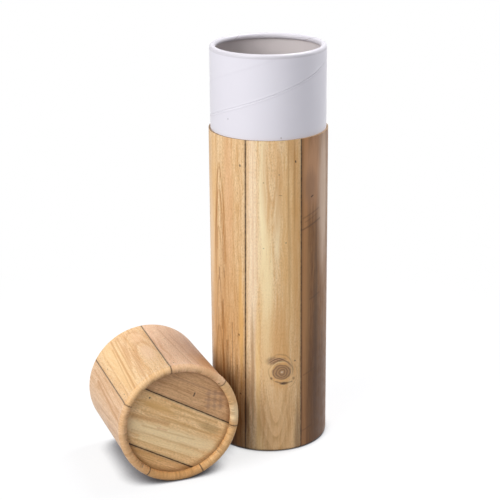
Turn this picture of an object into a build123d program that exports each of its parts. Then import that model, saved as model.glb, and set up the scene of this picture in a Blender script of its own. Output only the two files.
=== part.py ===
"""Gift tube in rolled board: a tall printed tube with a white neck, and its deep lid.

Every wall is a stack of plies that is rolled over at one end. The rolled end of the
lid and the rolled foot of the tube each hold a recessed disc, and the rolled rim of
the neck makes a soft mouth. The tube stands open, and the lid lies on its side
beside it, closed end to the front.

Millimetres, +Z up, origin at the middle of the foot, on the surface.
"""

from build123d import *
from math import acos, asin, cos, degrees, radians, sin
import os

# The tube, and the lid that goes over its neck
tube_radius = 45.0
tube_height = 312.0
sleeve_height = 249.0
neck_radius = 43.6
lid_radius = 46.0
lid_length = 89.0

# Plies, from the outside in
print_paper = 0.2
sleeve_board = tube_radius - print_paper - neck_radius
white_ply = 0.3
neck_board = 1.2
neck_lining_ply = 0.3
lid_board = 1.8
lid_lining_ply = 0.2
disc_board = 1.5

# Rolled ends: the radius of each roll, the foot's pressed flat, and how far a roll turns
foot_roll = 2.6
foot_flat = 1.2
rim_roll = 2.2
lid_roll = 3.25
roll_turn = 270.0
lid_bead_radius = 46.6
lid_flare = 20.0

# The open joint in the white ply climbs round the neck, turning as a right-hand thread
seam_pitch = 98.0
seam_height_at_front = 281.3
seam_gap = 0.4
seam_depth = 0.6
turn_to_front = 0.75

# The printed sheet laps over itself in a glued strip
lap_width = 8.0
lap_bond = 0.1
lap_angle = 80.0
lid_lap_angle = 135.0
lid_lap_length = 75.0

# Where the lid lies: the middle of its closed end, and the way that end faces
lid_end_x = -66.5
lid_end_y = -92.7
lid_heading = -69.7


def polar(centre, radius, angle):
    """A point in the radius-height plane, at an angle from the outward direction."""
    turn = radians(angle)
    return (centre[0] + radius * cos(turn), centre[1] + radius * sin(turn))


def arc(centre, radius, start, end):
    """An arc about a centre, between two angles."""
    middle = (start + end) / 2
    return ThreePointArc(
        polar(centre, radius, start), polar(centre, radius, middle), polar(centre, radius, end)
    )


def rolled_wall(wall_radius, roll, bead_radius, flare, flat, top, bottom, outer, inner):
    """One ply of a wall whose top is rolled inwards, as a solid of revolution.

    outer and inner are the ply's depths below the wall's outside. Where the bead is
    wider than the wall, the wall first flares out to it along an arc. A roll that is
    pressed flat on top turns about two centres, that far apart.
    """
    centre = (bead_radius - roll, top - roll)
    inner_centre = (centre[0] - flat, centre[1])
    if bead_radius > wall_radius:
        reach = wall_radius + flare - centre[0]
        dip = degrees(acos(reach / (flare + roll)))
        foot = centre[1] - (flare + roll) * sin(radians(dip))
        hollow = (wall_radius + flare, foot)
    else:
        dip = 0.0
        foot = centre[1]
        hollow = None

    def side(depth):
        """The outline of one face of the ply, from the open end to the roll's tip."""
        low = (wall_radius - depth, bottom)
        pieces = [Line(low, (wall_radius - depth, foot))]
        if hollow:
            pieces.append(arc(hollow, flare + depth, 180, 180 - dip))
        pieces.append(arc(centre, roll - depth, -dip, 90))
        if flat:
            pieces.append(Line(polar(centre, roll - depth, 90), polar(inner_centre, roll - depth, 90)))
        pieces.append(arc(inner_centre, roll - depth, 90, roll_turn))
        return low, pieces, polar(inner_centre, roll - depth, roll_turn)

    low_out, outside, tip_out = side(outer)
    low_in, inside, tip_in = side(inner)
    outline = outside + [Line(tip_out, tip_in)] + inside + [Line(low_in, low_out)]
    face = Plane.XZ * make_face(outline)
    return revolve(face, Axis.Z)


def disc(radius, bottom, thickness):
    """A flat round disc on the axis."""
    return Pos(0, 0, bottom) * Cylinder(radius, thickness, align=(Align.CENTER, Align.CENTER, Align.MIN))


def lap_strip(radius, bottom, top, angle):
    """The second thickness of printed paper where the sheet laps over itself.

    It reaches into the sheet below by the bond, so that the two fuse.
    """
    spread = degrees(lap_width / radius)
    ring = Pos(0, 0, bottom) * Cylinder(
        radius + print_paper,
        top - bottom,
        arc_size=spread,
        align=(Align.NONE, Align.NONE, Align.MIN),
    )
    core = Pos(0, 0, bottom) * Cylinder(
        radius - lap_bond, top - bottom, align=(Align.CENTER, Align.CENTER, Align.MIN)
    )
    return Rot(0, 0, angle) * (ring - core)


def foot_wall(outer, inner):
    """One ply of the sleeve, rolled under at the foot: made hanging from z = 0, then upturned."""
    wall = rolled_wall(
        tube_radius, foot_roll, tube_radius, 0, foot_flat, 0, -sleeve_height, outer, inner
    )
    return Rot(180, 0, 0) * wall


def neck_wall(outer, inner):
    """One ply of the inner tube, from the foot disc up to its rolled rim."""
    return rolled_wall(neck_radius, rim_roll, neck_radius, 0, 0, tube_height, neck_foot, outer, inner)


def lid_wall(outer, inner):
    """One ply of the lid, mouth down, with the bead of its closed end on top."""
    return rolled_wall(lid_radius, lid_roll, lid_bead_radius, lid_flare, 0, lid_length, 0, outer, inner)


def spiral_joint():
    """The thin helical slot between neighbouring turns of the white ply.

    A helix starts on +X, and the front is three quarters of a turn on from there.
    """
    start = seam_height_at_front - seam_pitch * turn_to_front
    while start > neck_foot - seam_pitch:
        start -= seam_pitch
    height = tube_height - 2 * rim_roll - start
    middle = neck_radius - white_ply / 2
    path = Pos(0, 0, start) * Helix(seam_pitch, height, middle)
    profile = Plane(origin=path @ 0, x_dir=(1, 0, 0), z_dir=path % 0) * Rectangle(seam_depth, seam_gap)
    return sweep(profile, path, is_frenet=True)


def lay_down(shape):
    """Lay the upright lid on its side: on its bead and on the edge of its mouth."""
    drop = lid_bead_radius - lid_radius
    tilt = degrees(asin(drop / (lid_length - lid_roll)))
    heading = Vector(1, 0, 0).rotate(Axis.Z, lid_heading)
    level = Vector(0, 0, 1)
    way = heading * cos(radians(tilt)) + level * sin(radians(tilt))
    bead_height = lid_bead_radius * cos(radians(tilt))
    end = Vector(lid_end_x, lid_end_y, bead_height + lid_roll * sin(radians(tilt)))
    mouth = Plane(origin=end - way * lid_length, x_dir=heading.cross(level), z_dir=way)
    return mouth.location * shape


foot_disc_face = 2 * foot_roll
neck_foot = foot_disc_face + print_paper + disc_board
lid_disc_face = lid_length - 2 * lid_roll
sleeve_wall = print_paper + sleeve_board
neck_wall_thickness = white_ply + neck_board + neck_lining_ply
lid_wall_thickness = print_paper + lid_board + lid_lining_ply

# The tube: printed sleeve, neck and foot
sleeve_wrap = foot_wall(0, print_paper) + lap_strip(tube_radius, 2 * foot_roll, sleeve_height, lap_angle)
sleeve_tube = foot_wall(print_paper, sleeve_wall)
foot_disc = disc(neck_radius, foot_disc_face + print_paper, disc_board)
foot_disc_print = disc(neck_radius, foot_disc_face, print_paper)
neck_white_ply = neck_wall(0, white_ply) - spiral_joint()
neck_tube = neck_wall(white_ply, white_ply + neck_board)
neck_lining = neck_wall(white_ply + neck_board, neck_wall_thickness)

# The lid, built upright and then laid on its side
lid_inner_radius = lid_radius - lid_wall_thickness
lid_wrap = lid_wall(0, print_paper) + lap_strip(lid_radius, 0, lid_lap_length, lid_lap_angle)
lid_tube = lid_wall(print_paper, print_paper + lid_board)
lid_lining = lid_wall(print_paper + lid_board, lid_wall_thickness)
lid_disc = disc(lid_inner_radius, lid_disc_face - print_paper - disc_board, disc_board)
lid_disc_print = disc(lid_inner_radius, lid_disc_face - print_paper, print_paper)

tube_pieces = {
    "sleeve_wrap": sleeve_wrap,
    "sleeve_tube": sleeve_tube,
    "foot_disc": foot_disc,
    "foot_disc_print": foot_disc_print,
    "neck_white_ply": neck_white_ply,
    "neck_tube": neck_tube,
    "neck_lining": neck_lining,
}
lid_pieces = {
    "lid_wrap": lid_wrap,
    "lid_tube": lid_tube,
    "lid_lining": lid_lining,
    "lid_disc": lid_disc,
    "lid_disc_print": lid_disc_print,
}

os.makedirs("parts", exist_ok=True)
for name, piece in tube_pieces.items():
    export_step(piece, f"parts/{name}.step")
for name, piece in lid_pieces.items():
    export_step(lay_down(piece), f"parts/{name}.step")
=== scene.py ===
# %% [markdown]
# # A rolled-board gift tube, dressed for its picture
#
# The real object is packaging. A sheet of board is wound into a tube, a printed sheet of
# wooden planks goes round it, and the ends are rolled over like the rim of a paper cup.
# A white neck stands out of the sleeve, and the deep lid lies on its side next to it.
#
# The construction is already there as a CAD model. This script loads that model as a
# fixed frame and puts finer pieces and real materials around it. Every measure below is
# in metres, because that is what the frame uses. A small name for a millimetre keeps the
# numbers readable.

from math import acos, asin, atan2, ceil, cos, pi, radians, sin, tau

import bmesh
import bpy
from mathutils import Matrix, Vector, noise


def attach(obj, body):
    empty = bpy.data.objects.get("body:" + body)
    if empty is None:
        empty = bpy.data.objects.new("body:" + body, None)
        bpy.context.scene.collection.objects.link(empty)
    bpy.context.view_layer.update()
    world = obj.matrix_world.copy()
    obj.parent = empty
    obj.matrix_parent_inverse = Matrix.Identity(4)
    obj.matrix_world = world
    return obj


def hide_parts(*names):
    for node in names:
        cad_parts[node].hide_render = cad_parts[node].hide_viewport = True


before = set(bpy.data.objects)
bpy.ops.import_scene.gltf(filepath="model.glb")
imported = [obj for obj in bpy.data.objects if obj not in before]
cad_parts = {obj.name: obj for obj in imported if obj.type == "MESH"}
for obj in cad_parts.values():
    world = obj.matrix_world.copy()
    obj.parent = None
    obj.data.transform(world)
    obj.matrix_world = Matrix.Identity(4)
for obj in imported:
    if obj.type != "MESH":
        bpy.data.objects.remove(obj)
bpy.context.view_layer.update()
MM = 0.001
print("nodes:", ", ".join(sorted(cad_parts)))

# %% [markdown]
# ## The camera
#
# A camera can be moved about until the picture looks right, or it can be worked out. The
# rims of a tube are circles, and how flat each one looks says how far down the camera
# looks at it. Fitting all of them together gives the place, the tilt and the lens, and
# only those results are written here. The last small turn is the roll, which a hand-held
# camera nearly always has.

# %% Place the camera
focal_in_widths = 1523.2 / 500
looking_down = radians(18.97)
turned_left = radians(0.335)
rolled = radians(0.44)

camera_data = bpy.data.cameras.new("camera")
camera_data.sensor_width = 36.0
camera_data.lens = camera_data.sensor_width * focal_in_widths
camera = bpy.data.objects.new("camera", camera_data)
camera.matrix_world = (
    Matrix.Translation((-0.0080, -1.1145, 0.5335))
    @ Matrix.Rotation(turned_left, 4, "Z")
    @ Matrix.Rotation(pi / 2 - looking_down, 4, "X")
    @ Matrix.Rotation(-rolled, 4, "Z")
)
bpy.context.scene.collection.objects.link(camera)
bpy.context.scene.camera = camera
print(f"lens {camera_data.lens:.1f} mm")

# %% [markdown]
# ## Small helpers for material nodes
#
# A material is a graph, and building one in code means placing a node, setting its
# values and linking its sockets, again and again. One helper does all three: whatever is
# passed for a socket is linked if it is a socket, and written in if it is a value. A
# socket knows the graph that it is in, so the sums on sockets needn't be told.

# %% Node helpers
def put(tree, kind, *inputs, **settings):
    """Place a shader node, and fill its sockets in order with links or values."""
    node = tree.nodes.new("ShaderNode" + kind)
    for name, value in settings.items():
        setattr(node, name, value)
    for socket, value in zip(node.inputs, inputs):
        feed(socket, value)
    return node


def feed(socket, value):
    """Give one socket its link or its value."""
    if isinstance(value, bpy.types.NodeSocket):
        socket.id_data.links.new(value, socket)
    elif value is not None:
        socket.default_value = value


def tree_of(values):
    """The graph that a sum belongs in, which every socket in it knows."""
    return next(value.id_data for value in values if isinstance(value, bpy.types.NodeSocket))


def calc(operation, *values):
    """A sum on numbers."""
    return put(tree_of(values), "Math", *values, operation=operation).outputs[0]


def times(first, *others):
    """The product of several numbers."""
    for other in others:
        first = calc("MULTIPLY", first, other)
    return first


def calc_vector(operation, *values):
    """A sum on vectors."""
    return put(tree_of(values), "VectorMath", *values, operation=operation).outputs[0]


def dot(first, second):
    return put(first.id_data, "VectorMath", first, second, operation="DOT_PRODUCT").outputs[1]


def size_of(value):
    """The length of a vector."""
    return put(value.id_data, "VectorMath", value, operation="LENGTH").outputs[1]


def vector(x, y, z=0.0):
    return put(x.id_data, "CombineXYZ", x, y, z).outputs[0]


def clouds(place, scale, detail, roughness=0.5):
    """Soft noise, from 0 to 1."""
    return put(place.id_data, "TexNoise", place, None, scale, detail, roughness).outputs[0]


def mix(amount, first, second):
    """Lay the second colour over the first."""
    node = put(amount.id_data, "Mix", amount, data_type="RGBA")
    feed(node.inputs[6], first)
    feed(node.inputs[7], second)
    return node.outputs[2]


def span(value, low, high, to_low=0.0, to_high=1.0, ends="SMOOTHSTEP"):
    """Turn one range of values into another, with soft ends."""
    node = put(value.id_data, "MapRange", value, low, high, to_low, to_high)
    node.interpolation_type = ends
    return node.outputs[0]


def colour(code):
    """A colour as written on a print order, turned into Blender's linear values."""
    parts = [int(code[i : i + 2], 16) / 255 for i in (0, 2, 4)]
    linear = [p / 12.92 if p <= 0.04045 else ((p + 0.055) / 1.055) ** 2.4 for p in parts]
    return (*linear, 1.0)


def tinted(painted, where, strength, ink):
    """Lay an ink over the colours where a mask is high."""
    return mix(times(where, strength), painted, colour(ink))


def new_group(name, outputs, **inputs):
    """An empty node group. Its sockets are listed by kind, as in Float="Across Along"."""
    tree = bpy.data.node_groups.new(name, "ShaderNodeTree")
    for side, kinds in (("INPUT", inputs), ("OUTPUT", outputs)):
        for kind, names in kinds.items():
            for socket in names.split():
                tree.interface.new_socket(socket, in_out=side, socket_type="NodeSocket" + kind)
    return tree, tree.nodes.new("NodeGroupInput").outputs, tree.nodes.new("NodeGroupOutput").inputs


def tell(group):
    print(f"{group.name}: {len(group.nodes)} nodes")


def use(group, **inputs):
    """Place a group in a material."""
    node = tree_of(inputs.values()).nodes.new("ShaderNodeGroup")
    node.node_tree = group
    for name, value in inputs.items():
        feed(node.inputs[name], value)
    return node.outputs


def new_material(name, roughness, specular):
    """A material with its Principled shader, whose plain values are set on the shader."""
    material = bpy.data.materials.new(name)
    material.use_nodes = True
    shader = material.node_tree.nodes["Principled BSDF"]
    shader.inputs["Roughness"].default_value = roughness
    shader.inputs["Specular IOR Level"].default_value = specular
    return material, material.node_tree, shader


def sheet_in_mm(tree):
    """Where a point lies on the flat sheet, in millimetres: the point, round, and along."""
    flat = put(tree, "UVMap", uv_map="sheet").outputs[0]
    sheet = calc_vector("DIVIDE", flat, (MM, MM, MM))
    parts = put(tree, "SeparateXYZ", sheet).outputs
    return sheet, parts[0], parts[1]


def emboss(shader, height, strength, depth):
    """Let the light see a fine relief."""
    bump = put(height.id_data, "Bump", strength, depth)
    feed(bump.inputs["Height"], height)
    feed(shader.inputs["Normal"], bump.outputs[0])


print("helpers ready")

# %% [markdown]
# ## The figure of sawn wood
#
# A photograph of planks could be used as an image, but it would only suit one size and
# one crop. Sawn wood can be described instead. It has five scales, and each is noise that
# is drawn out along the plank: broad bands of tone, streaks a millimetre or two wide, the
# fibres, the fine pores, and a few dark flecks. A real plank is never quite straight in
# the grain, so a slow wander shifts them all sideways together.

# %% Group: wood figure
figure, given, made = new_group(
    "wood_figure", {"Float": "Tone Pore Fleck Streak"}, Float="Across Along Seed"
)


def drawn_out(across, along, seed, wide, long, detail=2.0, low=0.32, high=0.68):
    """Noise drawn out along the plank, from 0 to 1; wide and long are its sizes in millimetres."""
    place = vector(calc("DIVIDE", across, wide), calc("DIVIDE", along, long), seed)
    return span(clouds(place, 1.0, detail, 0.55), low, high)


wander = drawn_out(given["Across"], given["Along"], given["Seed"], 24.0, 55.0)
across = calc("MULTIPLY_ADD", wander, 2.4, given["Across"])
grain_place = (across, given["Along"], given["Seed"])
band = drawn_out(*grain_place, 6.5, 260.0)
streak = drawn_out(*grain_place, 1.5, 45.0, 3.0, 0.37, 0.63)
fibre = drawn_out(*grain_place, 0.9, 10.0, 3.0, 0.37, 0.63)
tone = calc("MULTIPLY_ADD", band, 0.34, 0.04)
tone = calc("MULTIPLY_ADD", streak, 0.32, tone)
feed(made["Tone"], calc("MULTIPLY_ADD", fibre, 0.30, tone))
feed(made["Pore"], drawn_out(*grain_place, 0.8, 1.9, 3.0, 0.42, 0.66))
feed(made["Fleck"], drawn_out(*grain_place, 0.8, 5.0, 1.0, 0.66, 0.80))
feed(made["Streak"], streak)
tell(figure)

# %% [markdown]
# ## A row of planks
#
# The sheet holds several planks side by side, and each has its own colours. One group
# stands for one plank: to the right of its left edge it replaces what the planks before
# it said. A chain of them works like a table with a row for each plank, and the last
# group in the chain knows, for every point, which plank it is on and how far the nearest
# seam is.

# %% Group: one plank of the row
plank, given, made = new_group(
    "plank", {"Color": "Light Dark", "Float": "Seed Seam"},
    Float="Across Along Edge Slant Seed Seed_before Seam_before",
    Color="Light Dark Light_before Dark_before",
)
edge = calc("MULTIPLY_ADD", given["Along"], given["Slant"], given["Edge"])
beyond = calc("SUBTRACT", given["Across"], edge)
here = calc("GREATER_THAN", beyond, 0.0)
feed(made["Light"], mix(here, given["Light_before"], given["Light"]))
feed(made["Dark"], mix(here, given["Dark_before"], given["Dark"]))
seeds = put(plank, "Mix", here, None, given["Seed_before"], given["Seed"], data_type="FLOAT")
feed(made["Seed"], seeds.outputs[0])
nearer = calc("MINIMUM", given["Seam_before"], calc("ABSOLUTE", beyond))
feed(made["Seam"], nearer)
tell(plank)

# %% [markdown]
# ## Marks on the print
#
# What makes one plank differ from the next is drawn on top of the figure, with five kinds
# of mark. A stain is a soft ellipse, and serves for nails, worn places, long bands of tone,
# and a few patches of painted light and shade. An arch is one ring of the tree, cut where
# the saw passed near its heart: a parabola, dark on one side and fading on the other. A
# stroke is a short straight line between two points, such as a saw mark. A crescent is part
# of an oval line, strongest towards one side, and a knot is rings round a pale eye.
#
# All of them mix a colour into what is below, so they can be chained in any order. What
# they share is written once, before the first of them.

# %% What the marks share
def new_mark(name, points, numbers, colours=""):
    """The group of one kind of mark: it is given the colours below it and the sheet."""
    return new_group(name, {"Color": "Colour"}, Color="Colour Ink " + colours,
                     Vector="Sheet " + points, Float="Strength " + numbers)


def waver(given, stretch, detail):
    """Noise on both sides of zero, drawn out over the sheet."""
    drawn = calc_vector("MULTIPLY", given["Sheet"], (*stretch, 1.0))
    return calc("SUBTRACT", clouds(drawn, 1.0, detail), 0.5)


def inked(given, amount):
    """The mark's ink, laid over the colours below it."""
    return mix(times(amount, given["Strength"]), given["Colour"], given["Ink"])


print("marks can be made")

# %% Group: a stain
stain, given, made = new_mark("stain", "Place Size", "Ragged")
offset = calc_vector("SUBTRACT", given["Sheet"], given["Place"])
scaled = calc_vector("DIVIDE", offset, given["Size"])
torn = waver(given, (0.7, 0.05), 4.0)
distance = calc("MULTIPLY_ADD", torn, given["Ragged"], size_of(scaled))
feed(made["Colour"], inked(given, span(distance, 0.25, 1.0, 1.0, 0.0)))
tell(stain)

# %% Group: an arch
arch, given, made = new_mark("arch", "Tip", "Curve Width Reach Streak")
offset = put(arch, "SeparateXYZ", calc_vector("SUBTRACT", given["Sheet"], given["Tip"])).outputs
sideways = calc("MULTIPLY_ADD", waver(given, (0.10, 0.018), 2.0), 2.6, offset[0])
slope = times(sideways, given["Curve"], 2.0)
drop = times(sideways, sideways, given["Curve"])
gap = calc("ADD", offset[1], drop)
steep = calc("SQRT", calc("MULTIPLY_ADD", slope, slope, 1.0))
gap = calc("DIVIDE", calc("DIVIDE", gap, steep), given["Width"])
near = calc("MINIMUM", span(gap, -2.6, -0.2), span(gap, -0.1, 0.6, 1.0, 0.0))
full_reach = times(given["Reach"], 0.4)
fade = span(calc("ABSOLUTE", offset[1]), full_reach, given["Reach"], 1.0, 0.0)
broken = span(given["Streak"], 0.0, 0.9, 0.55, 1.0)
feed(made["Colour"], inked(given, times(near, fade, broken)))
tell(arch)

# %% Group: a stroke
stroke, given, made = new_mark("stroke", "Start End", "Width")
from_start = calc_vector("SUBTRACT", given["Sheet"], given["Start"])
course = calc_vector("SUBTRACT", given["End"], given["Start"])
share = put(stroke, "Clamp", calc("DIVIDE", dot(from_start, course), dot(course, course)))
reached = put(stroke, "VectorMath", course, operation="SCALE")
feed(reached.inputs["Scale"], share.outputs[0])
apart = size_of(calc_vector("SUBTRACT", from_start, reached.outputs[0]))
amount = span(calc("DIVIDE", apart, given["Width"]), 0.2, 1.0, 1.0, 0.0)
feed(made["Colour"], inked(given, amount))
tell(stroke)

# %% Group: a crescent
crescent, given, made = new_mark("crescent", "Place Size Facing", "Width")
offset = calc_vector("SUBTRACT", given["Sheet"], given["Place"])
scaled = calc_vector("DIVIDE", offset, given["Size"])
distance = calc("MULTIPLY_ADD", waver(given, (0.12, 0.12), 1.0), 0.16, size_of(scaled))
off = calc("ABSOLUTE", calc("SUBTRACT", distance, 1.0))
near = span(calc("DIVIDE", off, given["Width"]), 0.2, 1.0, 1.0, 0.0)
turned = span(dot(calc_vector("NORMALIZE", scaled), given["Facing"]), 0.25, 0.95)
feed(made["Colour"], inked(given, times(near, turned)))
tell(crescent)

# %% Group: a knot
knot, given, made = new_mark("knot", "Place", "Size", "Heart")
offset = calc_vector("SUBTRACT", given["Sheet"], given["Place"])
flatter = calc_vector("MULTIPLY", offset, (0.86, 1.0, 1.0))
distance = calc("MULTIPLY_ADD", waver(given, (0.17, 0.17), 3.0), 3.0, size_of(flatter))
share = calc("DIVIDE", distance, given["Size"])
ringed = span(calc("SINE", times(share, 23.0)), -1.0, 1.0, 0.50, 0.88)
rings = inked(given, times(ringed, span(share, 0.86, 1.10, 1.0, 0.0)))
feed(made["Colour"], mix(span(share, 0.02, 0.22, 0.85, 0.0), rings, given["Heart"]))
tell(knot)

# %% [markdown]
# ## Putting a plank print together
#
# The three printed sheets, round the sleeve, round the lid and on the flat discs, differ
# only in their planks and marks. One function builds the whole material from lists. Wood
# fibres part round a knot as water does round a stone, so near a knot the figure is looked
# up a little nearer to the knot's middle line than the point really is.
#
# Two things come from how the sheet is glued, both as painted shade. Paper pulled in round
# the lid's bead gathers in small folds, so the lid's sheet has painted shade in its creases
# there. And the flat discs have painted shade towards the edge, tucked in under the roll.
#
# The print is flat, so the wood adds no relief. What the light does see is the paper: a
# satin coat over a very slightly uneven board.

# %% The plank print as a function
MARKS = {
    stain: "Place Size Ink Strength Ragged",
    arch: "Tip Curve Width Reach Ink Strength",
    stroke: "Start End Width Ink Strength",
    crescent: "Place Size Facing Width Ink Strength",
    knot: "Place Size Ink Heart Strength",
}


def ready(name, value):
    """A value as its socket takes it: a point gets a third number, a code becomes a colour."""
    if isinstance(value, tuple):
        return (*value, 1.0 if name == "Size" else 0.0)
    return colour(value) if isinstance(value, str) else value


def draw(marks, painted, sheet, streak=None):
    """Lay marks over the colours, one after another."""
    for group, *values in marks:
        settings = {name: ready(name, value) for name, value in zip(MARKS[group].split(), values)}
        if group == arch:
            settings["Streak"] = streak
        painted = use(group, Colour=painted, Sheet=sheet, **settings)["Colour"]
    return painted


def plank_print(name, planks, marks, seam, crease_shade_band=None, rim_shade_radii=None):
    """A printed sheet. A plank is (left edge, slant, light, dark, seed), in millimetres."""
    material, tree, shader = new_material(name, 0.42, 0.24)
    sheet, across, along = sheet_in_mm(tree)
    before = {"Light_before": colour(planks[0][2]), "Dark_before": colour(planks[0][3]),
              "Seed_before": planks[0][4], "Seam_before": 1000.0}
    for left, slant, light, dark, seed in planks:
        row = use(plank, Across=across, Along=along, Edge=left, Slant=slant,
                  Light=colour(light), Dark=colour(dark), Seed=seed, **before)
        before = {key + "_before": row[key] for key in ("Light", "Dark", "Seed", "Seam")}

    parted = across
    for place, size, *_ in (rest for group, *rest in marks if group == knot):
        offset = calc_vector("SUBTRACT", sheet, (*place, 0.0))
        far = calc_vector("DIVIDE", offset, (1.15 * size, 2.4 * size, 1.0))
        bell = calc("EXPONENT", times(dot(far, far), -1.0))
        sideways = calc("SUBTRACT", across, place[0])
        pulled = times(bell, sideways, -0.7)
        parted = calc("ADD", parted, pulled)
    wood = use(figure, Across=parted, Along=along, Seed=row["Seed"])
    painted = mix(wood["Tone"], row["Light"], row["Dark"])
    painted = tinted(painted, wood["Pore"], 0.28, "8A5E2C")
    painted = tinted(painted, wood["Fleck"], 0.40, "7A5026")
    painted = draw(marks, painted, sheet, wood["Streak"])
    # Painted shade in the creases where the paper gathers round the lid's bead.
    if crease_shade_band:
        crease_shade = drawn_out(across, along, 7.7, 2.2, 60.0, 4.0, 0.40, 0.66)
        painted = tinted(painted, times(span(along, *crease_shade_band), crease_shade), 0.50, "94683A")
    # Painted shade on the disc towards its edge, where it lies in the recess under the roll.
    if rim_shade_radii:
        painted = tinted(painted, span(size_of(sheet), *rim_shade_radii), 0.46, "6E4520")

    wear = clouds(vector(across, times(along, 0.5)), 0.6, 4.0)
    beside_seam = span(row["Seam"], 0.8 * seam, 4.2 * seam, 1.0, 0.0)
    painted = tinted(painted, beside_seam, 0.42, "7A5638")
    width = span(wear, 0.3, 0.7, 0.70 * seam, 1.35 * seam)
    inner = times(width, 0.6)
    on_seam = span(row["Seam"], inner, width, 1.0, 0.0, ends="LINEAR")
    feed(shader.inputs["Base Color"], tinted(painted, on_seam, 0.97, "2E1D12"))

    unevenness = clouds(vector(across, along), 0.16, 3.0)
    emboss(shader, unevenness, 0.10, 0.0006)
    feed(shader.inputs["Roughness"], span(unevenness, 0.3, 0.7, 0.38, 0.48))
    return material


# %% The sleeve's sheet
NAIL, SAW = "3A2C24", "5E4636"
sleeve_planks = [
    (-200, 0, "EBCB9C", "BC8C55", 11), (-118, 0, "D8AE7C", "9C7045", 23),
    (-68.5, 0, "F8D9AC", "D0A068", 3), (-19.46, 0.0077, "FAE2B8", "DDAD74", 5),
    (25.65, -0.0021, "A2764C", "70492A", 7), (72, 0, "ECCB9C", "BC8E58", 31),
    (120, 0, "EBCB9C", "BC8C55", 11),
]
# Bands of tone, arches, the long grain of the foot, a darker foot partly painted as the lid's
# shadow, and three nails
left_plank = [
    (stain, (-52, 160), (9, 150), "EDB973", 0.5, 0.8),
    (stain, (-33, 200), (7, 90), "DCA578", 0.4, 0.6),
    (arch, (-43.2, 228), 1.05, 2, 80, "BE8644", 0.62),
    (arch, (-44, 207), 0.85, 1.8, 90, "B67C3C", 0.62),
    (arch, (-44.6, 178), 1.1, 1.8, 80, "AE7436", 0.62),
    (arch, (-45.2, 138), 1, 1.8, 80, "9C6630", 0.6),
    (arch, (-46, 98), 0.8, 1.8, 90, "8F5C2C", 0.6),
    (arch, (-43.3, 225), 1.05, 0.7, 90, "A2682E", 0.6),
    (arch, (-43.6, 211), 1.2, 0.6, 80, "A2682E", 0.55),
    (arch, (-44.2, 194), 1.3, 0.6, 70, "A2682E", 0.5),
    (stroke, (-47.6, 190), (-47, 160), 1.2, "A66C32", 0.4),
    (stroke, (-41, 186), (-38.2, 150), 1.2, "A66C32", 0.3),
    (stroke, (-44.9, 145), (-44.5, 136), 1.2, "7A4E26", 0.7),
    (stroke, (-38.9, 146), (-38.5, 139), 0.9, "7A4E26", 0.6),
    (stroke, (-41.7, 118), (-42.1, 96), 1.1, "74491F", 0.6),
    (stroke, (-46.6, 112), (-46.9, 84), 1, "74491F", 0.45),
    (stain, (-22.4, 104), (2.8, 70), "EEBC6E", 0.6, 0.5),
    (stain, (-40, 110), (30, 62), "C0884C", 0.38, 0.8),
    # A darker foot: partly darker grain, partly painted shadow of the lid.
    (stain, (-42, 12), (36, 82), "6C3C0E", 0.92, 0.5),
    (stain, (-58, 165), (8, 60), "F6D2A8", 0.65, 0.5),
    (stroke, (-40.2, 120), (-40.6, 70), 0.9, "7A4C20", 0.45),
    (stroke, (-30.6, 104), (-30.4, 40), 0.8, "7A4C20", 0.45),
    (stroke, (-36.4, 88), (-36.8, 20), 1, "5E3816", 0.5),
    (stroke, (-26.2, 70), (-26, 10), 0.8, "5E3816", 0.45),
    (stain, (-34.5, 34), (2.6, 66), "5E3D1E", 0.55, 0.7),
    (stain, (-27.5, 54), (1.6, 40), "6E4822", 0.3, 0.7),
    (stain, (-31.5, 47), (5.6, 30), "5A3410", 0.5, 0.5),
    (stain, (-26, 6), (2.8, 24), "C08A54", 0.5, 0.4),
    (stroke, (-22.1, 229.9), (-22, 228.9), 0.8, NAIL, 0.95),
    (stroke, (-24.4, 95.9), (-24.2, 95.2), 0.8, NAIL, 0.95),
    (stroke, (-23.6, 46.9), (-23.2, 46.6), 0.9, NAIL, 0.95),
]
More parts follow.
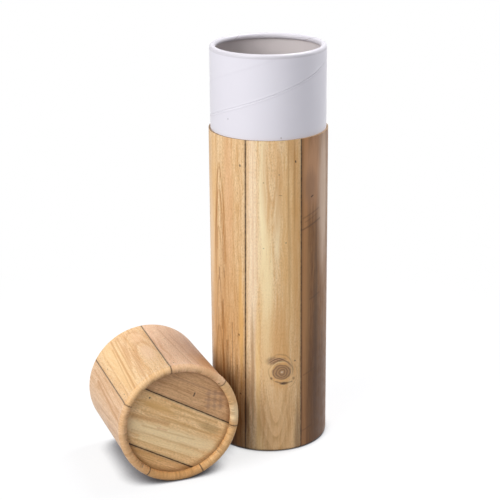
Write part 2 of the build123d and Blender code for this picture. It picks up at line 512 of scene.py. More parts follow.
# Bands of tone, nested arches, saw marks, a nail, the rings round the knot, and at the foot some
# painted light and shade
middle_plank = [
    (stain, (-13, 160), (6, 190), "FBE6CC", 0.4, 0.6),
    (stroke, (-15.5, 240), (-15.2, 150), 0.8, "D9AC80", 0.35),
    (stroke, (-12, 240), (-12.2, 130), 0.8, "D9AC80", 0.35),
    (stroke, (-9.2, 235), (-9, 140), 0.8, "D9AC80", 0.3),
    (stain, (-4.6, 205), (4.4, 80), "FAEBC2", 0.7, 0.7),
    (stain, (-2, 130), (7.5, 100), "FAE4B2", 0.65, 0.8),
    (stain, (15.5, 175), (12, 130), "E8B978", 0.52, 0.7),
    (stain, (5, 240), (5, 24), "E2AC6C", 0.3, 0.8),
    (stain, (6, 186), (3.6, 54), "FBE9C0", 0.55, 0.5),
    (stain, (17.5, 242), (4.5, 24), "C08A50", 0.45, 0.5),
    (arch, (2.2, 203), -1.96, 1.6, 60, "C68C4C", 0.5),
    (arch, (2.6, 184), -1.5, 1.6, 70, "D29C60", 0.32),
    (stain, (15.6, 160), (2.2, 62), "9C7048", 0.2, 0.5),
    (stain, (19.5, 215), (1.4, 60), "A8743C", 0.5, 0.5),
    (stain, (14.5, 215), (1.1, 60), "B27E44", 0.45, 0.5),
    (stain, (22, 150), (5.5, 170), "D8A263", 0.48, 0.6),
    (stain, (8, 92), (11, 60), "D6A468", 0.5, 0.6),
    (stain, (1, 88), (22, 50), "CE9044", 0.26, 0.4),
    # Darker towards the foot: partly print, partly painted shade.
    (stain, (8, 14), (19, 72), "DDB07A", 0.6, 0.4),
    (stain, (-19, 50), (9, 50), "6E3E0C", 0.4, 0.6),
    # Painted light that lightens the foot where the lid's shadow falls.
    (stain, (-8, 8), (4.2, 36), "F2CE94", 0.55, 0.4),
    (stain, (-13, 70), (2.4, 70), "8E5E24", 0.5, 0.5),
    (stain, (-18.4, 30), (2.8, 24), "54391F", 0.55, 0.7),
    # Painted shade at the foot beside the right seam.
    (stain, (22.5, 0), (4.4, 60), "704A28", 0.6, 0.4),
    (stain, (-9, 60), (2.4, 84), "F2D090", 0.55, 0.5),
    (arch, (4.4, 12), -0.286, 2, 50, "A8763C", 0.42),
    (arch, (4.4, 0), -0.21, 2, 50, "A8763C", 0.42),
    (arch, (4.6, 24), -0.5, 1.6, 40, "A8763C", 0.35),
    (stroke, (7.6, 207.9), (9.4, 207.5), 0.5, "8C6034", 0.6),
    (stain, (7.5, 223.5), (0.7, 0.7), SAW, 0.7, 0), (stain, (-4, 217.6), (0.7, 0.7), SAW, 0.6, 0),
    (stain, (12.7, 170.6), (0.8, 0.8), SAW, 0.7, 0),
    (stain, (-4.2, 166.9), (0.9, 0.6), SAW, 0.5, 0),
    (stroke, (20.2, 232.9), (20.4, 232), 0.8, NAIL, 0.95),
    (stain, (20.1, 74.8), (1, 1), NAIL, 0.8, 0),
    (stain, (9.5, 66.5), (14, 20), "D8A467", 0.5, 0.5),
    (stain, (2.8, 76.2), (7.6, 4.8), "7A5C48", 0.74, 0.5),
    (stain, (8.6, 77), (5.4, 2.2), "5E4434", 0.7, 0.5),
    (crescent, (6.5, 66), (10.6, 11.8), (0.3, 0.95), 0.1, "765842", 0.65),
    (crescent, (6.9, 66), (10, 11), (0.3, 0.95), 0.04, "DDB184", 0.8),
    (crescent, (6.5, 66), (10.8, 12.6), (0, 1), 0.035, "DDB184", 0.7),
    (crescent, (7.2, 67), (11.2, 9.6), (0.8, 0.6), 0.08, "7A5A3E", 0.52),
    (crescent, (7.4, 67), (11.4, 14.4), (0.55, 0.83), 0.07, "946C42", 0.38),
    (crescent, (9.2, 66.5), (8.6, 8.6), (-0.6, 0.8), 0.1, "EBCB98", 0.7),
    (crescent, (9, 66.5), (9.8, 8.4), (-0.9, -0.3), 0.07, "A67E4C", 0.4),
    (crescent, (13, 64), (9, 11), (0.95, -0.3), 0.06, "A67E4C", 0.35),
    (stroke, (4.6, 59.2), (9, 57.6), 0.9, "6A4A34", 0.55),
    (stain, (11, 57.2), (4.4, 1.7), "43342C", 0.95, 0.2),
    (stroke, (11, 57), (17.6, 58), 0.8, "80603E", 0.6),
    (stain, (1.4, 61.9), (1.6, 1.6), "6E4E34", 0.7, 0.5),
    (stain, (18.9, 60.4), (1.6, 1.9), "86603A", 0.6, 0.5),
]
# The brown plank: a lighter left edge, a painted highlight near its right edge, a lighter top
# and darker foot that are partly print and partly painted light and shade, a nail, and the long
# scratches across it
right_plank = [
    (stroke, (29.3, 250), (28.8, 0), 3.9, "BC885A", 0.85),
    # Lighter towards the top: partly the plank's tone, partly painted light.
    (stain, (37, 222), (14, 44), "C69670", 0.85, 0.5),
    (stain, (34, 212), (10, 18), "85644C", 0.45, 0.9),
    (stain, (31, 110), (4.5, 100), "A57B50", 0.5, 0.5),
    (stain, (41, 90), (4, 120), "4E3622", 0.6, 0.5),
    # Darker towards the foot: partly the plank's darker print, partly painted shade.
    (stain, (46, 20), (28, 120), "4C2A0A", 0.68, 0.4),
    # Painted highlight along the right edge near the top.
    (stain, (51, 200), (11, 84), "E4C8B0", 0.7, 0.3),
    (stroke, (34.9, 203), (36.7, 203.7), 0.8, NAIL, 0.9),
    (stroke, (26.4, 178.8), (45.4, 184), 1.1, "4E3828", 0.5),
    (stroke, (27, 187.6), (43.8, 192.4), 1, "4E3828", 0.35),
    (stroke, (29, 184.4), (42, 188.6), 0.8, "4E3828", 0.28),
    (stroke, (34, 122), (45, 124.5), 1, "46301F", 0.35),
    (stroke, (28, 61), (40, 64), 1, "46301F", 0.3),
    (stroke, (26.5, 14), (36, 16.5), 1, "46301F", 0.3),
]
# Arches and nails on the far side
far_planks = [
    (arch, (-94, 60), -0.7, 0.9, 90, "8C6036", 0.5),
    (arch, (-93, 90), -0.9, 0.9, 90, "8C6036", 0.45),
    (arch, (96, 190), 0.8, 0.9, 110, "A8784A", 0.55),
    (arch, (95, 160), 1, 0.9, 110, "A8784A", 0.5), (arch, (-140, 80), -0.6, 1, 100, "A8784A", 0.5),
    (arch, (142.7, 80), -0.6, 1, 100, "A8784A", 0.5),
    (stain, (-71.5, 229), (0.9, 0.9), NAIL, 0.9, 0),
    (stain, (75.4, 231), (0.9, 0.9), NAIL, 0.9, 0), (stain, (-115, 47), (0.9, 0.9), NAIL, 0.9, 0),
]
eye = [(knot, (9.4, 66.6), 6.4, "80624C", "E6D2B4", 1)]
sleeve_marks = left_plank + middle_plank + right_plank + far_planks + eye
sleeve_print = plank_print("sleeve_print", sleeve_planks, sleeve_marks, seam=0.44)
print("sleeve print:", len(sleeve_print.node_tree.nodes), "nodes")

# %% The lid's sheets
lid_planks = [
    (-200, 0, "EFC890", "C08C50", 61), (-153.8, 0, "F2CF9E", "CF9F68", 67),
    (-114.3, 0, "FCD8B6", "E6B48C", 43), (-69.5, 0.033, "FCDCB0", "E2AE74", 47),
    (-23.9, 0.0158, "F9D6B0", "D9A878", 53), (43.9, 0, "F0C894", "C08C50", 59),
    (90.2, 0, "EFC890", "C08C50", 61),
]
lid_marks = [
    (stain, (-36, 40), (13, 80), "FBD59C", 0.5, 0.6),
    (stain, (-60, 50), (6.5, 24), "F4CDAC", 0.5, 0.9),
    (stain, (-60, 20), (7, 18), "F0C298", 0.5, 0.9),
    (arch, (-59, 30), -0.42, 2, 60, "C98A54", 0.42),
    (arch, (-58, 8), -0.26, 2, 70, "C98A54", 0.42),
    (stroke, (-50.5, 30), (-47, 88), 1.1, "C98A50", 0.4),
    (stroke, (-42.3, 2), (-36.4, 86), 1.3, "BE7C3A", 0.55),
    (stroke, (-45.4, 6), (-40.6, 76), 1, "C08446", 0.38),
    (stroke, (-39.6, 14), (-33.4, 84), 0.9, "C08446", 0.38),
    (stroke, (-48, 4), (-43, 60), 0.9, "C98A50", 0.38),
    (stroke, (-31, 20), (-29, 84), 1, "C98A50", 0.35),
    (stain, (-27.5, 28.6), (0.8, 0.8), NAIL, 0.75, 0),
    (stain, (-28.8, 61.3), (0.7, 0.7), NAIL, 0.65, 0),
    (stain, (-26.7, 77.3), (0.8, 0.8), NAIL, 0.7, 0),
    (stain, (-70.9, 80.7), (0.8, 0.8), NAIL, 0.8, 0),
    (stain, (-72.5, 92.6), (0.8, 0.8), NAIL, 0.7, 0),
    (stain, (-98, 74), (12, 50), "CE9058", 0.45, 0.5),
    (stroke, (-80, 10), (-84, 86), 1.1, "C28A60", 0.35),
    (stroke, (-86, 20), (-91, 86), 1.3, "C28A60", 0.35),
    (stroke, (-13.6, 20), (-7.4, 84), 1.8, "BE8248", 0.55),
    (stroke, (-17.6, 6), (-13, 80), 1.1, "BE8248", 0.4),
    (stroke, (-21, 30), (-18.6, 84), 0.9, "BE8248", 0.35),
    (arch, (10, 20), -0.5, 1.8, 90, "B17E50", 0.45),
    (arch, (12, 50), -0.8, 1.8, 80, "B17E50", 0.45),
    (arch, (68, 20), -0.6, 1.8, 90, "A8784A", 0.45),
    (stain, (-20, 93), (400, 9), "E0B27C", 0.5, 0.2),
    (stain, (60, 93), (60, 9), "C98F50", 0.5, 0.6),
    (stain, (-143, 93), (11, 9), "F6DFB4", 0.65, 0.5),
    (stain, (-111.4, 93.4), (1, 1), NAIL, 0.9, 0), (stain, (7.1, 93.4), (1, 1), NAIL, 0.9, 0),
]
lid_print = plank_print("lid_print", lid_planks, lid_marks, seam=0.32, crease_shade_band=(89.5, 93.0))
disc_planks = [
    (-200, 0, "EABF92", "B88A5C", 67), (-13.05, 0.0115, "FFDEAA", "E0B074", 71),
    (29.5, 0, "F6CB96", "D09E60", 73),
]
disc_marks = [
    (stroke, (15.5, -34), (9.3, 34), 8, "FBE9BC", 0.5),
    (stroke, (22, -20), (19, 30), 4, "FBE6B4", 0.4),
    (stroke, (8.4, -34), (4.6, -6), 2.6, "BE8858", 0.5),
    (stroke, (4, -26), (0.6, 30), 1.2, "B98650", 0.4),
    (stroke, (-3, -30), (-6, 24), 1.4, "B98650", 0.38),
    (stroke, (13, -24), (9, 20), 1, "C09058", 0.35),
    (stroke, (18.6, -30), (15, 26), 1, "C09058", 0.32),
    (stain, (-3.8, 27), (5, 14), "9C7848", 0.5, 0.9),
    (stain, (-5, -20), (6, 20), "D6A462", 0.55, 0.8),
    (stroke, (-8.6, -10), (-9.6, 30), 1.6, "B07E40", 0.4),
    (stroke, (2.2, -30), (0.6, 16), 1.2, "C08A48", 0.4),
    (stroke, (24.6, -24), (23, 24), 1, "C08A48", 0.35),
    (stroke, (10.6, -12), (9.9, -4), 0.9, "C5743C", 0.35),
    (stroke, (-30, -20), (-31, 24), 1.4, "8C6244", 0.35),
    (stroke, (-24.3, 2.1), (-22, 2.3), 0.9, NAIL, 0.9),
    (stain, (-8.5, -29), (1.1, 1.1), NAIL, 0.9, 0.2),
]
patch_corner = Vector((-29.0, 10.0))
patch_sides = (Vector((-4.9, 12.8)), Vector((12.6, 5.9)))
for share in (0.15, 0.50, 0.85):
    for one, other in (patch_sides, patch_sides[::-1]):
        start = patch_corner + other * share
        disc_marks.append((stroke, tuple(start), tuple(start + one), 1.9, "7E5C50", 0.28))
disc_print = plank_print("disc_print", disc_planks, disc_marks, seam=0.52, rim_shade_radii=(36.6, 40.8))
print("lid and disc prints ready")

# %% [markdown]
# ## White ply, lining and board
#
# The neck's outer ply is plain white paper with a low sheen. Where two turns of a wound
# tube meet, the paper rises in a soft welt on each side of the joint, and the plies below
# print through as a fainter welt. Both are helices: on the flat sheet, height minus slope
# times distance round is the same all along one. So the distance to a helix is a
# subtraction, and the welt is a bump of that distance with a thin painted shade just below it.
#
# The lining is a dull grey paper, and the board shows only where it is cut.

# %% Group: a welt along a helix
neck_mm, joint_front, joint_pitch = 43.6, 281.3, 98.0
welt, given, made = new_group("welt", {"Float": "Rise Below"}, Float="Round Along Front Width")
climbed = times(given["Round"], joint_pitch / (tau * neck_mm))
level = calc("SUBTRACT", given["Along"], climbed)
turns = calc("DIVIDE", calc("SUBTRACT", level, given["Front"]), joint_pitch)
off = times(calc("SUBTRACT", turns, calc("ROUND", turns)), joint_pitch)
share = calc("DIVIDE", off, given["Width"])
# The second output marks painted shade just below each welt's ridge.
for socket, shift, steepness in (("Rise", 0.0, -1.0), ("Below", 0.8, -2.0)):
    apart = calc("ADD", share, shift)
    feed(made[socket], calc("EXPONENT", times(apart, apart, steepness)))
tell(welt)


# %% White paper, lining paper and board
def paper(name, code, roughness, grain_size, relief, welts=(), strokes=()):
    """Plain paper. A welt is (height at the front, width, height of the rise, painted shade below
    it).
    """
    material, tree, shader = new_material(name, roughness, 0.45)
    sheet, across, along = sheet_in_mm(tree)
    grain = clouds(sheet, 1 / grain_size, 4.0, 0.6)
    base = mix(span(clouds(sheet, 0.03, 2.0), 0.3, 0.7, 0.0, 0.05), colour(code), colour("C6C0C6"))
    level = times(grain, 0.35)
    for front, width, rise, tint in welts:
        line = use(welt, Round=across, Along=along, Front=front, Width=width)
        level = calc("MULTIPLY_ADD", line["Rise"], rise, level)
        # Painted shade: a grey tint just below each welt.
        base = tinted(base, line["Below"], tint, "A79FAE")
    feed(shader.inputs["Base Color"], draw(strokes, base, sheet))
    emboss(shader, level, relief, 0.0003)
    return material


under_front, lining_front = 308.2, 290.0
welts = [
    (joint_front + 1.0, 0.7, 0.6, 0.04), (joint_front - 1.0, 0.7, 0.6, 0.06),
    (under_front, 1.3, 0.35, 0.04),
]
specks = [
    (stroke, (-32.7, 262.9), (-32.7, 262.3), 0.7, "8E8990", 0.55),
    (stroke, (9.0, 251.0), (9.0, 250.4), 0.7, "8E8080", 0.60),
]
white_paper = paper("white_paper", "E0DDE4", 0.38, 0.5, 0.55, welts, specks)
lip_joint = [(stroke, (-115.0, 312.6), (-106.2, 318.0), 0.5, "A79EA2", 0.55)]
# The rim is the same white ply as the neck, made darker as painted shade.
shaded_rim_paper = paper("shaded_rim_paper", "D2CED4", 0.38, 0.9, 0.8, [], lip_joint)
lining_paper = paper("lining_paper", "CAC2C1", 0.75, 0.6, 0.35, [(lining_front, 1.2, 1.0, 0.35)])
under_paper = paper("under_paper", "F4F2F6", 0.6, 0.6, 0.2)

board, tree, shader = new_material("grey_board", 0.85, 0.3)
place = put(tree, "TexCoord").outputs["Object"]
flecks = clouds(place, 2200.0, 3.0)
flat_place = calc_vector("MULTIPLY", place, (300.0, 300.0, 6000.0))
layers = clouds(flat_place, 1.0, 2.0)
base = mix(span(flecks, 0.4, 0.7, 0.0, 0.6), colour("A98F74"), colour("7A624C"))
base = mix(span(layers, 0.45, 0.6, 0.0, 0.3), base, colour("8E765C"))
feed(shader.inputs["Base Color"], base)
emboss(shader, flecks, 0.3, 0.0003)

cut_paper, tree, shader = new_material("cut_paper", 0.8, 0.3)
place = put(tree, "TexCoord").outputs["Object"]
nap = clouds(place, 3000.0, 3.0)
feed(shader.inputs["Base Color"], mix(nap, colour("D9B48C"), colour("9C744C")))
print("papers and board ready")

# %% [markdown]
# ## One ply of a rolled wall
#
# Every wall is a stack of plies with one outline: straight up, sometimes a flare, then a
# roll over the top. The outline could be typed in as a list of points. Here it is drawn
# as it is made: a single vertex is extruded up the wall and then spun about the centre
# of the roll. The same line is drawn again a ply's thickness further in, the two are
# joined at their ends, and the closed outline is spun round the tube's axis.
#
# Each vertex remembers how far along the outline it lies. That distance and the distance
# round the tube are the flat sheet's own coordinates, so they make a UV map on which the
# print keeps its true size, even over the roll.

# %% Draw and spin a ply
def drawn_line(bm, run, low, wall, centre, roll, flare=0.0, flat=0.0, fine=20):
    """The line of one face of a ply, from its open end at the bottom to the roll's tip."""
    dip, foot = 0.0, centre[1]
    if flare:
        reach = wall + flare - centre[0]
        dip = acos(reach / (flare + roll))
        foot = centre[1] - (flare + roll) * sin(dip)
    line = [bmesh.ops.create_vert(bm, co=(wall, 0, low))["vert"][0]]

    def straight(x, z):
        line.append(bmesh.ops.extrude_vert_indiv(bm, verts=[line[-1]])["verts"][0])
        line[-1].co = (x, 0, z)

    def bent(x, z, angle, steps):
        """Spin the end of the line about a centre, rising outwards for a positive angle."""
        axis = (0, -1, 0) if angle > 0 else (0, 1, 0)
        count = len(bm.verts)
        bmesh.ops.spin(bm, geom=[line[-1]], cent=(x, 0, z), axis=axis, angle=abs(angle),
                       steps=steps)
        bm.verts.ensure_lookup_table()
        line.extend(bm.verts[count:])

    straight(wall, foot)
    if flare:
        bent(wall + flare, foot, -dip, 5)
    quarter = pi / 2
    bent(*centre, quarter + dip, fine // 2)
    if flat:
        straight(line[-1].co.x - flat, line[-1].co.z)
    bent(centre[0] - flat, centre[1], 2 * quarter, fine)
    for before, after in zip(line, line[1:]):
        after[run] = before[run] + (after.co - before.co).length
    return line


def rolled_ply(wall, depth, thick, low, high, roll, bead=None, flare=0.0, flat=0.0, around=256,
               fine=20):
    """A closed ply, upright, rolled inwards at its top. Returns its bmesh."""
    bm = bmesh.new()
    run = bm.verts.layers.float.new("run")
    centre = ((bead or wall) - roll, high - roll)
    lines = []
    for inward in (depth, depth + thick):
        hollow = flare + inward if flare else 0.0
        lines.append(drawn_line(bm, run, low, wall - inward, centre, roll - inward, hollow, flat,
                                fine))
    bm.edges.new((lines[0][0], lines[1][0]))
    bm.edges.new((lines[0][-1], lines[1][-1]))
    bmesh.ops.spin(bm, geom=bm.verts[:] + bm.edges[:], cent=(0, 0, 0), axis=(0, 0, 1), angle=tau,
                   steps=around, use_merge=True)
    bmesh.ops.recalc_face_normals(bm, faces=bm.faces[:])
    return bm


def lay_sheet(bm, radius, zero=-pi / 2, edge=pi):
    """The flat sheet's coordinates as a UV map: distance round, and distance along.

    Zero is the direction that the sheet is measured from, here the front, and edge is
    how far round from it the sheet is cut.
    """
    sheet = bm.loops.layers.uv.new("sheet")
    run = bm.verts.layers.float["run"]
    for face in bm.faces:
        middle = face.calc_center_median()
        home = atan2(middle.y, middle.x) - zero
        home -= ceil((home - edge) / tau) * tau
        for loop in face.loops:
            turn = atan2(loop.vert.co.y, loop.vert.co.x) - zero
            turn += round((home - turn) / tau) * tau
            loop[sheet].uv = (turn * radius, loop.vert[run])


sharp_angle = radians(35.0)


def finish_piece(bm, name, body, materials, replaces=()):
    """Turn a bmesh into a piece: smooth faces, sharp cut edges, materials and its body."""
    for face in bm.faces:
        face.smooth = True
    for seam in bm.edges:
        if len(seam.link_faces) == 2 and seam.calc_face_angle(0.0) > sharp_angle:
            seam.smooth = False
    mesh = bpy.data.meshes.new(name)
    bm.to_mesh(mesh)
    bm.free()
    for material in materials:
        mesh.materials.append(material)
    piece = bpy.data.objects.new(name, mesh)
    bpy.context.scene.collection.objects.link(piece)
    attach(piece, body)
    if replaces:
        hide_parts(*replaces)
    print(f"{name}: {len(mesh.polygons)} faces")


# %% [markdown]
# ## The sleeve
#
# The print and its board are rolled under at the foot. The line is drawn hanging from the
# foot and the finished ply is turned over, which keeps one way of drawing for every
# piece. Where the guillotine cut the sheet, at the top, the paper shows its core. At the
# back the sheet is glued over its own edge, so a strip of it stands one thickness proud.

# %% Sleeve: print and board
tube_radius, neck_radius = 45.0 * MM, neck_mm * MM
sleeve_height, tube_height = 249.0 * MM, 312.0 * MM
print_thick, sleeve_board_thick = 0.2 * MM, 1.2 * MM
foot_roll, foot_flat = 2.6 * MM, 1.2 * MM
lap_width, sleeve_lap = 8.0 * MM, radians(80.0)


def upturned(bm, height, radius):
    """Stand a ply that was drawn hanging on its roll, and lay the sheet from the foot up."""
    bmesh.ops.rotate(bm, verts=bm.verts[:], cent=(0, 0, 0), matrix=Matrix.Rotation(pi, 3, "X"))
    run = bm.verts.layers.float["run"]
    for vert in bm.verts:
        vert[run] = height - vert[run]
    lay_sheet(bm, radius)


def second_material(bm, test):
    """Give the faces that pass a test the piece's second material."""
    for face in bm.faces:
        if test(face):
            face.material_index = 1


def raise_lap(bm, wall, start, low, high):
    """Lift the strip where the printed sheet laps over its own edge, by one thickness."""
    for vert in bm.verts:
        turn = atan2(vert.co.y, vert.co.x)
        outside = vert.co.xy.length > wall - 0.1 * print_thick
        if outside and start < turn < start + lap_width / wall and low <= vert.co.z <= high:
            vert.co += vert.co.to_2d().normalized().to_3d() * print_thick


bm = rolled_ply(tube_radius, 0.0, print_thick, -sleeve_height, 0.0, foot_roll, flat=foot_flat)
upturned(bm, sleeve_height, tube_radius)
raise_lap(bm, tube_radius, sleeve_lap, foot_roll, sleeve_height)
top_edge = sleeve_height - MM
second_material(bm, lambda face: face.normal.z > 0.9 and face.calc_center_median().z > top_edge)
finish_piece(bm, "sleeve_sheet", "tube", [sleeve_print, cut_paper], ["sleeve_wrap"])
bm = rolled_ply(tube_radius, print_thick, sleeve_board_thick, -sleeve_height, 0.0, foot_roll,
                flat=foot_flat)
upturned(bm, sleeve_height, tube_radius)
finish_piece(bm, "sleeve_core", "tube", [board], ["sleeve_tube"])

# %% [markdown]
# ## The neck
#
# The white ply is a ribbon wound in a spiral, so there is a thin open joint between one
# turn and the next. A ribbon is a spin that also climbs: its cross-section is spun about
# the axis with a small lift at every step. It climbs past both ends and is then trimmed
# with two flat cuts. The rolled rim is a separate spin with a slit, twisted so that the
# slit carries on at the slope of the joint.

# %% Neck: the wound ribbon
white_thick, neck_board_thick, lining_thick = 0.3 * MM, 1.2 * MM, 0.3 * MM
pitch, joint_at_front, joint_gap = joint_pitch * MM, joint_front * MM, 0.4 * MM
neck_foot, rim_roll = 6.9 * MM, 2.2 * MM
rim_start = tube_height - rim_roll - 1.0 * MM
around, turns = 240, 5


def wind(bm, section, angle, steps, lift=0.0):
    """Spin a cross-section round the tube's axis, with a small lift at every step."""
    bmesh.ops.spin(bm, geom=[section] + section.edges[:] + section.verts[:], cent=(0, 0, 0),
                   axis=(0, 0, 1), dvec=(0, 0, lift), angle=angle, steps=steps)


bm = bmesh.new()
run = bm.verts.layers.float.new("run")
first = joint_at_front - (turns - 1) * pitch
corners = [(-neck_radius, first + joint_gap / 2), (-neck_radius, first + pitch - joint_gap / 2)]
corners += [(-neck_radius + white_thick, z) for _, z in reversed(corners)]
section = bm.faces.new([bm.verts.new((0, x, z)) for x, z in corners])
wind(bm, section, tau * turns, around * turns, pitch / around)
for level, up in ((neck_foot, -1), (rim_start, 1)):
    cut = bmesh.ops.bisect_plane(bm, geom=bm.verts[:] + bm.edges[:] + bm.faces[:], dist=1e-7,
                                 plane_co=(0, 0, level), plane_no=(0, 0, up), clear_outer=True)
    rim = [item for item in cut["geom_cut"] if isinstance(item, bmesh.types.BMEdge)]
    bmesh.ops.edgenet_fill(bm, edges=rim)
bmesh.ops.recalc_face_normals(bm, faces=bm.faces[:])
for vert in bm.verts:
    vert[run] = vert.co.z
lay_sheet(bm, neck_radius)
finish_piece(bm, "neck_ribbon", "tube", [white_paper], ["neck_white_ply"])

# %% Neck: the rolled rim with its slit
bm = bmesh.new()
run = bm.verts.layers.float.new("run")
slope = pitch / (tau * neck_radius)
centre = (neck_radius - rim_roll, tube_height - rim_roll)
lines = []
for inward in (0.0, white_thick):
    lines.append(drawn_line(bm, run, rim_start, neck_radius - inward, centre, rim_roll - inward,
                            fine=24))
section = bm.faces.new(lines[0] + lines[1][::-1])
slit = joint_gap / (neck_radius * slope)
wind(bm, section, tau - slit, 320)
joint_turn = (rim_start - joint_at_front) / pitch * tau - pi / 2 + slit / 2
for vert in bm.verts:
    twist = joint_turn + vert[run] / (slope * neck_radius)
    vert.co = Matrix.Rotation(twist, 3, "Z") @ vert.co
    vert[run] += rim_start
bmesh.ops.recalc_face_normals(bm, faces=bm.faces[:])
lay_sheet(bm, neck_radius)
finish_piece(bm, "neck_rim", "tube", [shaded_rim_paper])

# %% Neck: board and lining
bm = rolled_ply(neck_radius, white_thick, neck_board_thick, neck_foot, tube_height, rim_roll)
lay_sheet(bm, neck_radius)
second_material(
    bm, lambda face: face.normal.xy.dot(face.calc_center_median().xy) > 0.5 * neck_radius
)
finish_piece(bm, "neck_core", "tube", [board, under_paper], ["neck_tube"])
bm = rolled_ply(neck_radius, white_thick + neck_board_thick, lining_thick, neck_foot, tube_height,
                rim_roll)
lay_sheet(bm, neck_radius)
finish_piece(bm, "neck_inside", "tube", [lining_paper], ["neck_lining"])

# %% [markdown]
# ## The lid
#
# The lid is drawn upright with its mouth down, like the sleeve, and then laid on its side
# with one matrix. The printed paper is squeezed as it goes over the bead, because the
# roll's inner side is a smaller circle than the sheet, so it gathers in fine pleats. They
# are made by moving the vertices in and out with noise that changes quickly round the
# bead and slowly across it.

# %% Lid: where it lies
lid_radius, lid_length = 46.0 * MM, 89.0 * MM
bead_radius, lid_roll, lid_flare = 46.6 * MM, 3.25 * MM, 20.0 * MM
lid_board_thick, lid_lining_thick = 1.8 * MM, 0.2 * MM
tilt = asin((bead_radius - lid_radius) / (lid_length - lid_roll))
facing = radians(-69.7)
heading, upright = Vector((cos(facing), sin(facing), 0)), Vector((0, 0, 1))
way = heading * cos(tilt) + upright * sin(tilt)
closed_end = Vector((-66.5 * MM, -92.7 * MM, bead_radius * cos(tilt) + lid_roll * sin(tilt)))
side = heading.cross(upright)
lid_place = Matrix.Translation(closed_end - way * lid_length) @ Matrix(
    (side, way.cross(side), way)
).transposed().to_4x4()
lid_lap, lid_lap_length = radians(135.0), 78.0 * MM
pleat_depth, ripples, creases = 0.28 * MM, 26.0, 60.0


def pleat(bm):
    """Gather the paper on the bead: from nothing at the flare to full depth inside the roll."""
    start = lid_length - 2.2 * lid_roll
    for vert in bm.verts:
        along = vert[bm.verts.layers.float["run"]]
        if along < start:
            continue
        turn = atan2(vert.co.y, vert.co.x)
        spot = Vector((cos(turn), sin(turn), 0.0))
        ripple = noise.noise(spot * ripples + Vector((0, 0, along * 90)))
        crease = noise.noise(spot * creases + Vector((0, 0, along * 140)))
        grown = min((along - start) / (3.0 * lid_roll), 1.0)
        hub = spot * (bead_radius - lid_roll) + Vector((0, 0, lid_length - lid_roll))
        away = (vert.co - hub).normalized()
        vert.co += away * min(0.6 * ripple + 0.4 * crease - 0.30, 0.0) * pleat_depth * grown


def lid_ply(name, depth, thick, materials, node, around=256, gathered=False):
    """One ply of the lid, from its mouth to its bead, laid where the lid lies."""
    bm = rolled_ply(lid_radius, depth, thick, 0.0, lid_length, lid_roll, bead=bead_radius,
                    flare=lid_flare, around=around, fine=22)
    lay_sheet(bm, lid_radius, zero=0.0, edge=lid_lap)
    if gathered:
        pleat(bm)
        raise_lap(bm, lid_radius, lid_lap, 0.0, lid_lap_length)
    bmesh.ops.transform(bm, matrix=lid_place, verts=bm.verts[:])
    finish_piece(bm, name, "lid", materials, [node])


lid_ply("lid_sheet", 0.0, print_thick, [lid_print], "lid_wrap", around=480,
        gathered=True)
lid_ply("lid_core", print_thick, lid_board_thick, [board], "lid_tube")
lid_ply("lid_inside", print_thick + lid_board_thick, lid_lining_thick,
        [lining_paper], "lid_lining")

# %% The discs
def disc_face(radius, height, turned):
    """A printed disc, with the planks laid across it at an angle, as its UV map."""
    bm = bmesh.new()
    bmesh.ops.create_circle(bm, cap_ends=True, segments=160, radius=radius)
    top = bmesh.ops.extrude_face_region(bm, geom=bm.faces[:])
    raised = [item for item in top["geom"] if isinstance(item, bmesh.types.BMVert)]
    bmesh.ops.translate(bm, verts=raised, vec=(0, 0, print_thick))
    bmesh.ops.translate(bm, verts=bm.verts[:], vec=(0, 0, height))
    bmesh.ops.recalc_face_normals(bm, faces=bm.faces[:])
    sheet = bm.loops.layers.uv.new("sheet")
    for face in bm.faces:
        for loop in face.loops:
            loop[sheet].uv = (Matrix.Rotation(-turned, 3, "Z") @ loop.vert.co).xy
    return bm


lid_inner_radius = lid_radius - print_thick - lid_board_thick - lid_lining_thick
seams_turned = radians(60.0)
bm = disc_face(lid_inner_radius, lid_length - 2 * lid_roll - print_thick, seams_turned)
bmesh.ops.transform(bm, matrix=lid_place, verts=bm.verts[:])
finish_piece(bm, "lid_face", "lid", [disc_print], ["lid_disc_print"])
bm = disc_face(neck_radius, 2 * foot_roll, 0.0)
finish_piece(bm, "foot_face", "tube", [disc_print], ["foot_disc_print"])
for name in ("foot_disc", "lid_disc"):
    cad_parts[name].data.materials.clear()
    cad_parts[name].data.materials.append(board)

# %% [markdown]
# ## Floor, light and background
#
# The picture has a plain white ground with soft grey shadows. A white floor alone never
# reaches pure white without too much light on the object. So the floor shows its lit,
# shadowed white to the object. Rays that come straight from the camera see mostly a glow,
# dimmed by ambient occlusion within 27 mm of the object, with a fifth of the lit floor
# mixed in for the longer shadows. Further out the glow grows to the white of the world.

# %% Floor and world
def seen_directly(tree):
    """1 for rays from the camera, a mirror or glass, and 0 for light that bounces."""
    rays = put(tree, "LightPath").outputs
    mirrored = calc("MAXIMUM", rays["Is Glossy Ray"], rays["Is Transmission Ray"])
    return calc("MAXIMUM", rays["Is Camera Ray"], mirrored)


floor_reach = 3.0
glow_starts, glow_full = 0.16, 0.45
shade_reach, lit_share = 27.0 * MM, 0.22

bm = bmesh.new()
bmesh.ops.create_grid(bm, x_segments=1, y_segments=1, size=floor_reach)
floor_mesh = bpy.data.meshes.new("floor")
bm.to_mesh(floor_mesh)
bm.free()
floor = bpy.data.objects.new("floor", floor_mesh)
bpy.context.scene.collection.objects.link(floor)

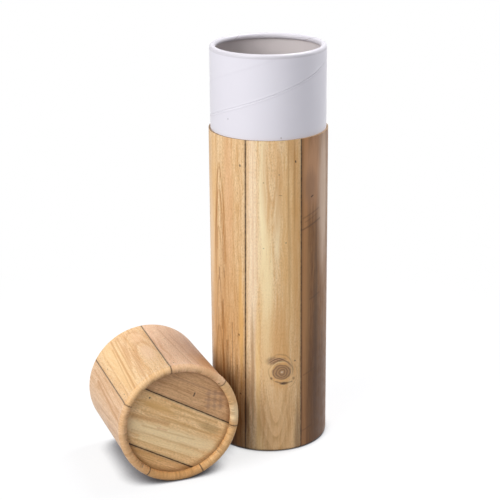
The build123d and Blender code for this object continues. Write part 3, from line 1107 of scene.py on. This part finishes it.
ground = bpy.data.materials.new("white_ground")
ground.use_nodes = True
tree = ground.node_tree
tree.nodes.clear()
place = put(tree, "TexCoord").outputs["Object"]
from_middle = calc_vector("SUBTRACT", place, (-0.05, -0.03, 0.0))
level = calc_vector("MULTIPLY", from_middle, (1.0, 1.0, 0.0))
glow = span(size_of(level), glow_starts, glow_full)
lit = put(tree, "BsdfDiffuse", colour("F4F4F8")).outputs[0]
bounce = put(tree, "BsdfDiffuse", colour("A8A8AC")).outputs[0]
hollow = put(tree, "AmbientOcclusion", None, shade_reach, samples=16).outputs[1]
open_sky = span(hollow, 0.12, 0.68, 0.02, 1.03)
shine = put(tree, "Emission", mix(open_sky, colour("5C5F70"), (1, 1, 1, 1)), open_sky).outputs[0]
near = put(tree, "MixShader", lit_share, shine, lit).outputs[0]
white = put(tree, "Emission", (1, 1, 1, 1), 1.0).outputs[0]
seen = put(tree, "MixShader", glow, near, white).outputs[0]
final = put(tree, "MixShader", seen_directly(tree), bounce, seen)
put(tree, "OutputMaterial", final.outputs[0])
floor_mesh.materials.append(ground)

world = bpy.data.worlds.new("studio")
bpy.context.scene.world = world
world.use_nodes = True
tree = world.node_tree
tree.nodes.clear()
soft = put(tree, "Background", (0.93, 0.95, 1.0, 1.0), 0.30).outputs[0]
plain = put(tree, "Background", (1, 1, 1, 1), 1.0).outputs[0]
put(tree, "OutputWorld", put(tree, "MixShader", seen_directly(tree), soft, plain).outputs[0])
bpy.context.scene.view_settings.view_transform = "Standard"


# %% Lamps
def lamp(name, place, aim, size, power, tint=(1.0, 1.0, 1.0)):
    """A soft box: a square area lamp, turned to face a point."""
    data = bpy.data.lights.new(name, "AREA")
    data.shape = "SQUARE"
    data.size = size
    data.energy = power
    data.color = tint
    box = bpy.data.objects.new(name, data)
    box.location = place
    box.rotation_euler = (Vector(aim) - Vector(place)).to_track_quat("-Z", "Y").to_euler()
    bpy.context.scene.collection.objects.link(box)


lamp("key", (-0.97, -1.08, 1.12), (-0.03, 0.0, 0.12), 1.25, 26.8)
lamp("over", (0.50, 0.45, 1.40), (-0.03, 0.0, 0.07), 0.6, 15.0, (0.97, 0.98, 1.0))
lamp("edge", (1.16, 0.31, 0.36), (0.0, 0.0, 0.15), 0.5, 2.9)
lamp("front", (0.15, -1.60, 0.45), (-0.02, 0.0, 0.12), 0.9, 1.2)
